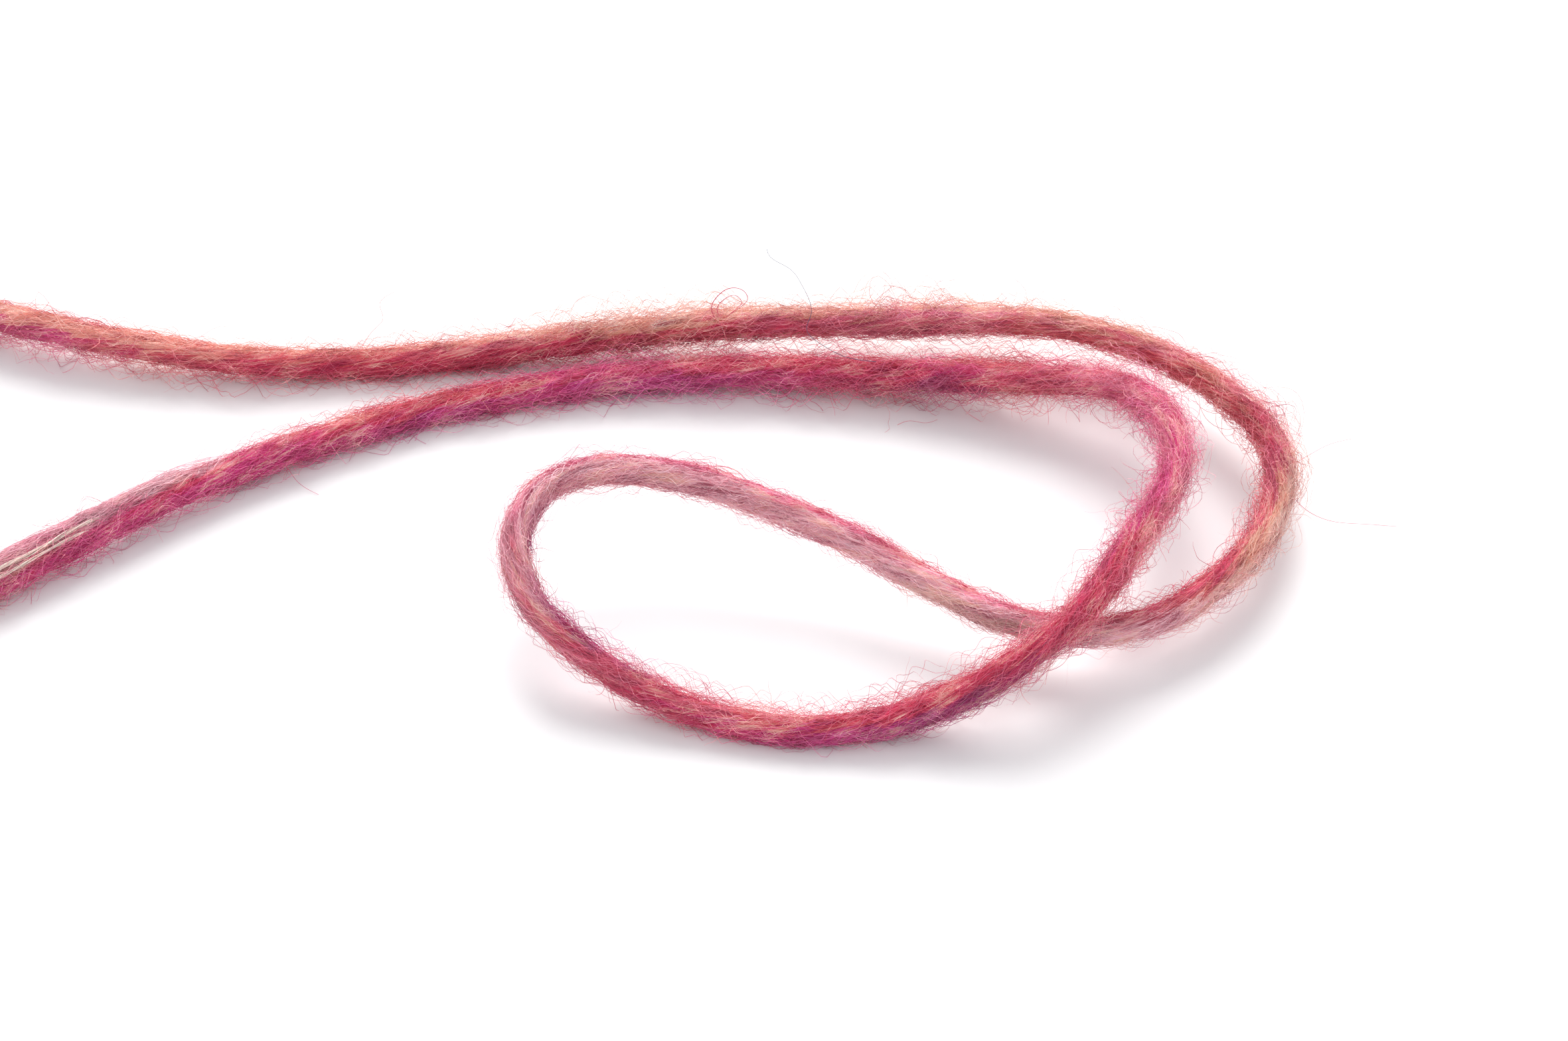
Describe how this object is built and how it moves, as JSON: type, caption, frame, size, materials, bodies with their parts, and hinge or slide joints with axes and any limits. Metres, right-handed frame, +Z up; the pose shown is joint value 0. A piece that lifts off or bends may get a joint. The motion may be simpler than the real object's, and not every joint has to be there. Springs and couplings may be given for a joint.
{
  "type": "cut length of cotton and merino yarn",
  "caption": "Soft, loosely plied, hand-dyed yarn lying in long strands and a crossed loop; fibre for knitting, weaving or trimming.",
  "frame": {"origin": "on the table surface, under the middle of the whole piece", "axes": "+X right, along the two long strands and away from their cut ends; +Y to the back; +Z up from the table"},
  "size_m": [0.082, 0.0368, 0.0069],
  "materials": {
    "dyed_wool": "soft, matt, fuzzy hand-dyed cotton and merino in rose, crimson and magenta with coral, tan and plum stretches"
  },
  "bodies": {
    "root": {"yarn": "dyed_wool"}
  },
  "joints": []
}
